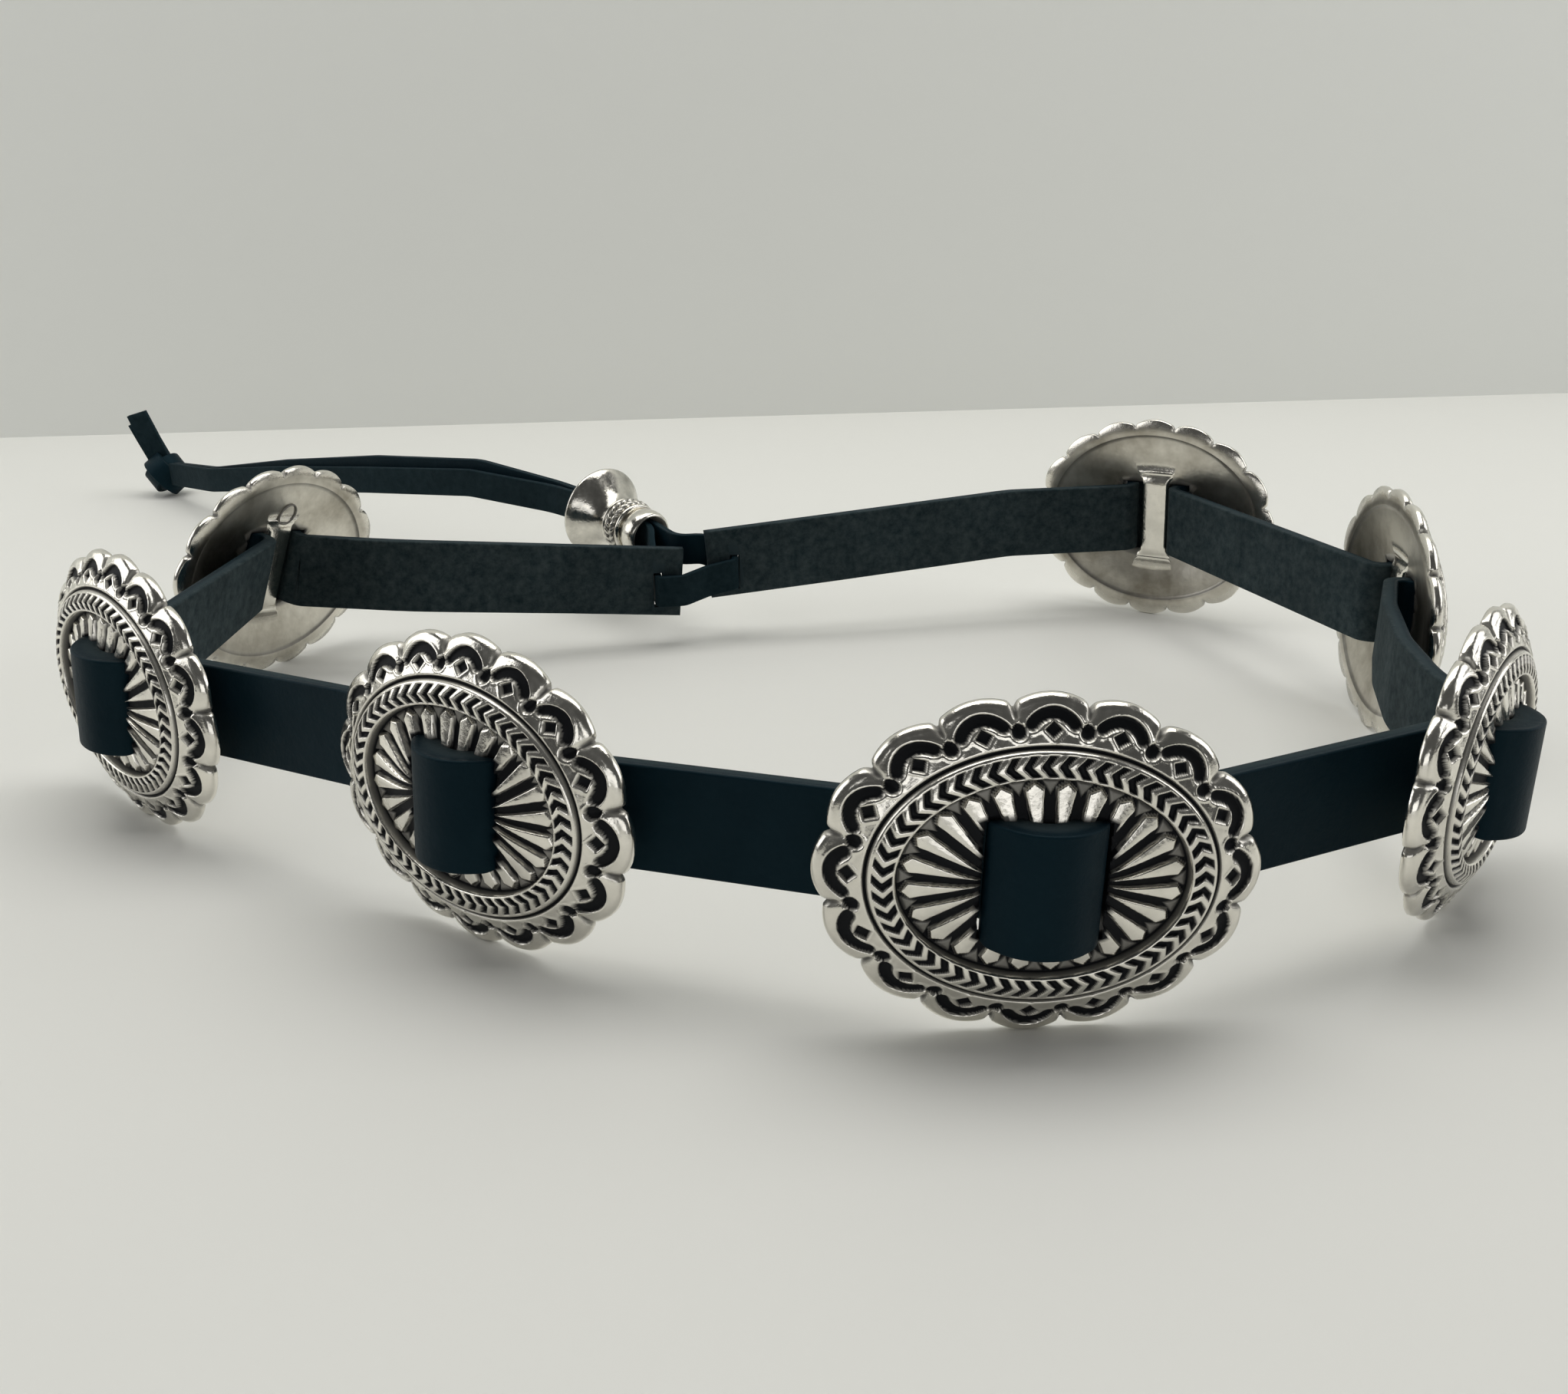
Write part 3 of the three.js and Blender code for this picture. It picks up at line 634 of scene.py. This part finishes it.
# The small ring that the casting left on the back of the left rear concho, above its bar
def build_back_mark(material):
    turn, place = FRAMES["concho_1"]
    middle = (-1.0, 14.6)
    reach = (2.7, 2.9)
    wire = 0.28
    insets = [row[0] for row in BACK_PROFILE][::-1]
    heights = [row[1] for row in BACK_PROFILE][::-1]
    trial = np.linspace(0.5, 28, 276)
    points = []
    faces = []
    around = 40
    section = 6
    for k in range(around):
        angle = 2 * math.pi * k / around
        x = middle[0] + reach[0] * math.cos(angle)
        y = middle[1] + reach[1] * math.sin(angle)
        ovals = (x / (CONCHO_WIDTH / 2 - trial)) ** 2 + (y / (CONCHO_HEIGHT / 2 - trial)) ** 2
        inset = trial[np.argmin(np.abs(ovals - 1))]
        height = np.interp(inset, insets, heights) - 0.05
        for j in range(section):
            roll = 2 * math.pi * j / section
            out = wire * math.cos(roll)
            lift = height + wire * math.sin(roll)
            points.append((x + out * math.cos(angle), y + out * math.sin(angle), lift))
            a = k * section + j
            b = k * section + (j + 1) % section
            c = (k + 1) % around * section + j
            d = (k + 1) % around * section + (j + 1) % section
            faces.append((a, c, d, b))
    mark = make_object("back_mark", np.array(points) @ turn.T + place, faces, material)
    set_attribute(mark.data, "dark", np.full(len(points), 0.75))
    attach(mark, "root")


# Strips of leather

def rounded_route(corners, arc_steps, spacing):
    stations = [(corners[0]["place"], corners[0]["up"])]
    for i in range(1, len(corners) - 1):
        place = corners[i]["place"]
        before = corners[i - 1]["place"] - place
        after = corners[i + 1]["place"] - place
        reach = min(np.linalg.norm(before), np.linalg.norm(after)) * 0.48
        before = unit(before)
        after = unit(after)
        turn = math.pi - math.acos(np.clip(before @ after, -1, 1))
        tangent = min(corners[i]["bend"] * math.tan(turn / 2), reach)
        start = place + before * tangent
        end = place + after * tangent
        steps = max(4, round(arc_steps * turn / (math.pi / 2)) + 1)
        for k in range(steps + 1):
            share = k / steps
            a = start + (place - start) * share
            b = place + (end - place) * share
            stations.append((a + (b - a) * share, corners[i]["up"]))
    stations.append((corners[-1]["place"], corners[-1]["up"]))
    filled = [stations[0]]
    for (p0, u0), (p1, u1) in zip(stations, stations[1:]):
        pieces = max(1, int(np.linalg.norm(p1 - p0) / spacing))
        for k in range(1, pieces + 1):
            share = k / pieces
            filled.append((p0 + (p1 - p0) * share, unit(u0 + (u1 - u0) * share)))
    return filled


# Section of a strip with rounded edges: across its thickness, along its width, and which side it is
def strip_section(width, thickness, radius):
    section = []
    for sx, sy, start in ((1, 1, 0), (-1, 1, 90), (-1, -1, 180), (1, -1, 270)):
        for k in range(5):
            angle = math.radians(start + k * 22.5)
            x = sx * (thickness / 2 - radius) + radius * math.cos(angle)
            y = sy * (width / 2 - radius) + radius * math.sin(angle)
            section.append((x, y))
    return section


# How much wider and thicker the strap is where it bulges over a bar: above, below and inside
def hump_growth(place):
    for turn, middle in FRAMES.values():
        along, _, out = turn.T @ (place - middle)
        if abs(along) < HUMP_WIDTH / 2 and 0 < out < HUMP_RISE:
            share = smooth(out, DOME_RISE - 4, DOME_RISE)
            inside = HUMP_GROWTH_IN * smooth(out, DOME_RISE - 3, DOME_RISE + 1)
            return HUMP_GROWTH_UP * share, HUMP_GROWTH_DOWN * share, inside
    return 0, 0, 0


def strip_object(name, stations, width, thickness, radius, material, grow=None):
    section = strip_section(width, thickness, radius)
    count = len(section)
    points = []
    sides = []
    total = len(stations)
    for i, (place, up) in enumerate(stations):
        before = stations[max(0, i - 1)][0]
        after = stations[min(total - 1, i + 1)][0]
        tangent = unit(after - before)
        up = unit(up - tangent * (up @ tangent))
        side = np.cross(tangent, up)
        more_up, more_down, more_in = grow(place) if grow else (0, 0, 0)
        for x, y in section:
            in_ = x - (more_in if x < 0 else 0)
            points.append(place + side * in_ + up * (y + (more_up if y > 0 else -more_down)))
            sides.append(x / (thickness / 2))
    faces = []
    for i in range(total - 1):
        for k in range(count):
            a = i * count + k
            b = i * count + (k + 1) % count
            faces.append((a, b, b + count, a + count))
    last = (total - 1) * count
    faces.append(tuple(range(count - 1, -1, -1)))
    faces.append(tuple(last + k for k in range(count)))
    obj = make_object(name, points, faces, material)
    set_attribute(obj.data, "side", sides)
    modifier = obj.modifiers.new("normals", "WEIGHTED_NORMAL")
    modifier.keep_sharp = True
    modifier.weight = 100
    return obj


def to_world(frame_, local):
    turn, place = frame_
    return turn @ np.asarray(local, dtype=float) + place


def hump_corners(frame_):
    up = frame_[0] @ np.array([0.0, 1.0, 0.0])
    radius = HUMP_RADIUS
    middle = HUMP_RISE - STRAP_THICKNESS / 2 - radius
    reach = radius / math.cos(math.pi / 8)
    table = [(-FOOT[0], FOOT[1], NECK_BEND), (-NECK[0], NECK[1], NECK_BEND)]
    for degrees in (-67.5, -22.5, 22.5, 67.5):
        angle = math.radians(degrees)
        table.append((reach * math.sin(angle), middle + reach * math.cos(angle), radius))
    table += [(*NECK, NECK_BEND), (*FOOT, NECK_BEND)]
    return [{"place": to_world(frame_, (s, 0, n)), "up": up, "bend": bend} for s, n, bend in table]


def rim_corners(frame_, side, target):
    turn, place = frame_
    goal = turn.T @ (target - place)
    slope = (goal[2] - FOOT[1]) / (abs(goal[0]) - FOOT[0])
    deepest = -STRAP_THICKNESS / 2 - TOUCH_GAP * 2
    up = turn @ np.array([0.0, 1.0, 0.0])
    edges = (CONCHO_WIDTH / 2 - BACK_BAND - STRAP_THICKNESS / 2, CONCHO_WIDTH / 2 + STRAP_THICKNESS / 2)
    return [
        {"place": to_world(frame_, (side * reach, 0, deepest)), "up": up, "bend": STRAP_WIDTH}
        for reach in edges
        if FOOT[1] + slope * (reach - FOOT[0]) > deepest
    ]


def strap_corners():
    free_bend = STRAP_WIDTH * 2

    def free(rows):
        return [{"place": place_of(p), "up": UP, "bend": free_bend} for p in rows]

    humps = [hump_corners(FRAMES[row["name"]]) for row in CONCHOS]
    corners = free(STRAP_ROUTE["start"])
    for i, row in enumerate(CONCHOS):
        if i:
            between = free(STRAP_ROUTE.get(row["name"], []))
            leave_to = between[0]["place"] if between else humps[i][0]["place"]
            come_from = between[-1]["place"] if between else humps[i - 1][-1]["place"]
            corners += rim_corners(FRAMES[CONCHOS[i - 1]["name"]], 1, leave_to)
            corners += between
            corners += rim_corners(FRAMES[row["name"]], -1, come_from)[::-1]
        corners += humps[i]
    return corners + free(STRAP_ROUTE["end"])


def slit_frame(end, after, slit):
    along = unit(after - end)
    place = end + along * slit["inset"] + UP * slit["up"] * STRAP_WIDTH
    right = unit(np.array([abs(along[0]), along[1] * np.sign(along[0]), 0]))
    return np.column_stack([right, np.cross(UP, right), UP]), place


START = [place_of(p) for p in STRAP_ROUTE["start"]]
END = [place_of(p) for p in STRAP_ROUTE["end"]]
LEFT = slit_frame(START[0], START[1], LEFT_SLIT)
RIGHT = slit_frame(END[2], END[1], RIGHT_SLIT)


def build_strap():
    leather = leather_material("strap_leather_skin", ((0.008, 0.016, 0.020), (0.050, 0.064, 0.067)),
                               ((0.0012, 0.0072, 0.0125), (0.0030, 0.0115, 0.0180)))
    stations = rounded_route(strap_corners(), 12, 2.0)
    strap = strip_object("strap_leather", stations, STRAP_WIDTH, STRAP_THICKNESS, STRAP_EDGE, leather,
                         hump_growth)
    size = (LACE_THICKNESS + SLIT_SIDE_GAP * 2, STRAP_THICKNESS * 3, LACE_WIDTH + SLIT_SIDE_GAP * 4)
    cutters = [box_object("slit_cutter", size, frame_) for frame_ in (LEFT, RIGHT)]
    apply_boolean(strap, cutters)
    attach(strap, "root")
    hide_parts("strap")


def lace_corners():
    clear = STRAP_THICKNESS / 2 + LACE_GAP + LACE_THICKNESS / 2
    mouth = place_of(SLIDE_MOUTH_PLACE)
    bell = place_of(SLIDE_BELL_PLACE)
    axis = unit(bell - mouth)
    across = unit(np.cross(axis, UP))
    apart = (LACE_THICKNESS + TOUCH_GAP) / 2
    knot = place_of(KNOT_PLACE)
    toward_tail = unit(place_of(TAIL_ROUTE[-1]) - knot)
    knot_edge = knot + toward_tail * (KNOT_WIDTH * KNOT_BODY + TOUCH_GAP * 2)

    def corner(place, bend):
        return {"place": place, "up": UP, "bend": bend}

    def strand(side):
        run = [corner(knot_edge + across * side * apart, 0)]
        for p in TAIL_ROUTE[::-1]:
            place = place_of(p) + across * side * apart * (1 + p["spread"])
            place = place + UP * side * p["spread"] * TAIL_SPREAD / 2
            run.append(corner(place, LOOP_WIDTH / 8))
        run.append(corner(bell + across * side * apart, SLIDE_BELL))
        run.append(corner(mouth + across * side * apart - axis, SLIDE_BELL / 2))
        return run

    behind = LACE_WIDTH
    left_inset = LEFT_SLIT["inset"]
    right_inset = RIGHT_SLIT["inset"]
    upper = [
        corner(to_world(LEFT, (left_inset, clear + behind * 0.6, LACE_WIDTH)), behind),
        corner(to_world(RIGHT, (-right_inset, clear, LACE_WIDTH * 0.7)), behind),
        corner(to_world(RIGHT, (0, clear, LACE_WIDTH * 0.1)), LACE_THICKNESS * 0.8),
        corner(to_world(RIGHT, (0, -clear, 0)), LACE_THICKNESS * 0.8),
    ]
    lower = [
        corner(to_world(RIGHT, (-right_inset - TOUCH_GAP, -clear, -LACE_WIDTH * 0.2)), LACE_WIDTH / 2),
        corner(to_world(LEFT, (left_inset + TOUCH_GAP, -clear, 0)), LACE_WIDTH / 2),
        corner(to_world(LEFT, (0, -clear, 0)), LACE_THICKNESS * 0.8),
        corner(to_world(LEFT, (0, clear + LACE_THICKNESS, 0)), LACE_THICKNESS),
    ]
    return strand(1) + upper + lower + strand(-1)[::-1]


def build_lace(leather):
    stations = rounded_route(lace_corners(), 8, 2.0)
    lace = strip_object("lace_leather", stations, LACE_WIDTH, LACE_THICKNESS, LACE_EDGE, leather)
    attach(lace, "root")
    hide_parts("lace")


# Slide

def lathe(profile, around, turn, place):
    points = []
    for radius, along in profile:
        for k in range(around):
            angle = 2 * math.pi * k / around
            points.append((radius * math.cos(angle), radius * math.sin(angle), along))
    faces = []
    rows = len(profile)
    for i in range(rows):
        for k in range(around):
            a = i * around + k
            b = i * around + (k + 1) % around
            c = ((i + 1) % rows) * around + k
            d = ((i + 1) % rows) * around + (k + 1) % around
            faces.append((a, b, d, c))
    return np.array(points) @ turn.T + place, faces


def axis_turn(axis):
    side = unit(np.cross(UP, axis))
    return np.column_stack([side, np.cross(axis, side), axis])


def build_slide():
    material = silver_material("slide_silver_bright", 0.3)
    mouth = place_of(SLIDE_MOUTH_PLACE)
    axis = unit(place_of(SLIDE_BELL_PLACE) - mouth)
    turn = axis_turn(axis)
    bore = SLIDE_COLLAR - SLIDE_WALL * 1.2
    waist = bore + SLIDE_WALL * 0.8
    outer = [(0.88, 0), (0.95, 0.02), (0.99, 0.06), (1, 0.12), (0.98, 0.18), (0.92, 0.24), (0.87, 0.28),
             (0.85, 0.33), (0.85, 0.56), (0.88, 0.62), (0.95, 0.68), (1.08, 0.74), (1.26, 0.8), (1.46, 0.86),
             (1.66, 0.92), (1.8, 0.965), (1.83, 0.985), (1.82, 1)]
    outer = [(radius * SLIDE_MOUTH, along * SLIDE_LENGTH) for radius, along in outer]
    inner = [(radius - SLIDE_WALL / 2, along - 0.15) for radius, along in outer[:9:-1]]
    inner += [(bore, 0.5 * SLIDE_LENGTH), (bore, 0.14 * SLIDE_LENGTH), (bore + SLIDE_WALL / 2, 0.01)]
    points, faces = lathe(outer + inner, 64, turn, mouth)
    slide = make_object("slide_body", points, faces, material)
    dark = []
    for i, (radius, along) in enumerate(outer + inner):
        inside = i >= len(outer) and along < 0.7 * SLIDE_LENGTH
        dark += [0.75 if inside else 0.0] * 64
    set_attribute(slide.data, "dark", dark)
    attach(slide, "root")
    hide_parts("slide")
    build_collar(material, turn, mouth, waist)


# Two rings round the slide's waist: a plain one and a twisted rope
def build_collar(material, turn, mouth, waist):
    around = 180
    section = 10
    points = []
    dark = []
    faces = []

    def ring(along, major, minor, twists, strands):
        first = len(points)
        for k in range(around):
            angle = 2 * math.pi * k / around
            for j in range(section):
                roll = 2 * math.pi * j / section
                groove = 0.5 + 0.5 * math.cos(strands * roll + twists * angle) if strands else 1.0
                radius = minor * (0.72 + 0.28 * groove)
                r = major + radius * math.cos(roll)
                points.append((r * math.cos(angle), r * math.sin(angle), along + radius * math.sin(roll)))
                dark.append(0.85 * (1 - groove) ** 2)
        for k in range(around):
            for j in range(section):
                a = first + k * section + j
                b = first + k * section + (j + 1) % section
                c = first + ((k + 1) % around) * section + j
                d = first + ((k + 1) % around) * section + (j + 1) % section
                faces.append((a, b, d, c))

    ring(0.31 * SLIDE_LENGTH, waist + 0.35, 0.75, 0, 0)
    ring(0.39 * SLIDE_LENGTH, waist + 0.6, 1.05, 22, 2)
    ring(0.48 * SLIDE_LENGTH, waist + 0.6, 1.05, -22, 2)
    ring(0.56 * SLIDE_LENGTH, waist + 0.35, 0.75, 0, 0)
    world = np.array(points) @ turn.T + mouth
    collar = make_object("slide_collar", world, faces, material)
    set_attribute(collar.data, "dark", dark)
    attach(collar, "root")


# Knot: two flat wraps of the lace that cross over a lump, and its two cut ends
def wrap_stations(centre, normal, radius, steps):
    normal = unit(np.array(normal, dtype=float))
    first = unit(np.cross(normal, [0.0, 1.0, 0.0]))
    second = np.cross(normal, first)
    stations = []
    for k in range(steps + 1):
        angle = 2 * math.pi * k / steps
        stations.append((centre + radius * (math.cos(angle) * first + math.sin(angle) * second), normal))
    return stations


def build_knot(leather):
    centre = place_of(KNOT_PLACE)
    lump = bpy.data.meshes.new("knot_lump")
    shape = bmesh.new()
    bmesh.ops.create_icosphere(shape, subdivisions=4, radius=1)
    for vertex in shape.verts:
        vertex.co = (vertex.co * Vector(KNOT_LUMP) + Vector(centre)) * MM
    shape.to_mesh(lump)
    shape.free()
    lump.shade_smooth()
    body = bpy.data.objects.new("knot_lump", lump)
    bpy.context.scene.collection.objects.link(body)
    lump.materials.append(leather)
    set_attribute(lump, "side", np.ones(len(lump.vertices)))
    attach(body, "root")
    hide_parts("knot")
    for name, normal, radius in KNOT_WRAPS:
        stations = wrap_stations(centre, normal, radius, 48)
        wrap = strip_object(name, stations, LACE_WIDTH * 0.9, LACE_THICKNESS, LACE_EDGE, leather)
        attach(wrap, "root")
    for name, lean, side, share in CUT_ENDS:
        length = CUT_END_LENGTH * share + KNOT_HEIGHT / 2
        turn = turn_about("Y", lean)
        start = centre + turn @ np.array([0, side * (LACE_THICKNESS + TOUCH_GAP) / 2, 0])
        stations = []
        for k in range(13):
            share_up = k / 12
            curl = side * 1.2 * share_up * share_up
            place = start + turn @ np.array([0, curl, length * share_up])
            stations.append((place, turn @ turn_about("Z", side * 14 * share_up) @ np.array([1.0, 0, 0])))
        end = strip_object(name, stations, LACE_WIDTH, LACE_THICKNESS, LACE_EDGE, leather)
        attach(end, "root")


# Studio

def build_stage():
    floor_material = plain_material("floor_paper", (0.80, 0.80, 0.765), 0.55)
    wall_material = plain_material("wall_paper", (0.79, 0.80, 0.77), 0.9)
    origin = SHIFT * MM
    half = 1.6
    floor = make_object("floor", np.array([
        [-half, -half, 0], [half, -half, 0], [half, half, 0], [-half, half, 0]]) / MM + SHIFT,
        [(0, 1, 2, 3)], floor_material, False)
    left_back = 0.285
    right_back = left_back + 0.32
    height = 1.2
    foot = [(-half, left_back), (half, right_back)]
    points = [(x, y, 0) for x, y in foot] + [(x, y, height) for x, y in foot[::-1]]
    wall = make_object("wall", np.array(points) / MM + SHIFT, [(0, 1, 2, 3)], wall_material, False)
    return origin


def area_light(name, place, target, size, power, colour=(1, 1, 1)):
    data = bpy.data.lights.new(name, "AREA")
    data.shape = "RECTANGLE"
    data.size, data.size_y = size
    data.energy = power
    data.color = colour
    obj = bpy.data.objects.new(name, data)
    bpy.context.scene.collection.objects.link(obj)
    obj.location = place
    direction = Vector(target) - Vector(place)
    obj.rotation_euler = direction.to_track_quat("-Z", "Y").to_euler()


def build_lights(origin):
    ox, oy = origin[0], origin[1]
    target = (ox, oy, 0.02)
    area_light("top", (ox, oy + 0.22, 0.95), target, (1.2, 0.7), 7.8, (1, 0.99, 0.955))
    area_light("front card", (ox, oy - 0.95, 0.2), target, (0.9, 0.34), 1.1)
    area_light("left", (ox - 0.9, oy + 0.05, 0.4), target, (0.7, 0.6), 2.2)
    area_light("right", (ox + 0.9, oy + 0.05, 0.4), target, (0.7, 0.6), 2.2)
    world = bpy.data.worlds.new("room")
    world.use_nodes = True
    background = world.node_tree.nodes["Background"]
    background.inputs["Color"].default_value = (0.75, 0.76, 0.75, 1)
    background.inputs["Strength"].default_value = 0.09
    bpy.context.scene.world = world


def build_camera():
    data = bpy.data.cameras.new("camera")
    data.sensor_width = CAMERA_SENSOR
    data.lens = CAMERA_LENS
    data.clip_start = 0.01
    camera = bpy.data.objects.new("camera", data)
    bpy.context.scene.collection.objects.link(camera)
    down = math.radians(CAMERA_DOWN)
    roll = math.radians(CAMERA_ROLL)
    forward = Vector((0, math.cos(down), -math.sin(down)))
    right = Vector((1, 0, 0))
    up = right.cross(forward)
    right, up = right * math.cos(roll) + up * math.sin(roll), up * math.cos(roll) - right * math.sin(roll)
    matrix = Matrix((right, up, -forward)).transposed().to_4x4()
    matrix.translation = Vector((SHIFT + np.array(CAMERA_PLACE)) * MM)
    camera.matrix_world = matrix
    bpy.context.scene.camera = camera


build_camera()
lace_leather = leather_material("lace_leather_skin", ((0.004, 0.011, 0.015), (0.014, 0.025, 0.030)),
                                ((0.0012, 0.0072, 0.0125), (0.0034, 0.0125, 0.0185)))
build_conchos()
build_strap()
build_lace(lace_leather)
build_slide()
build_knot(lace_leather)
build_lights(build_stage())
bpy.context.scene.view_settings.view_transform = "Standard"
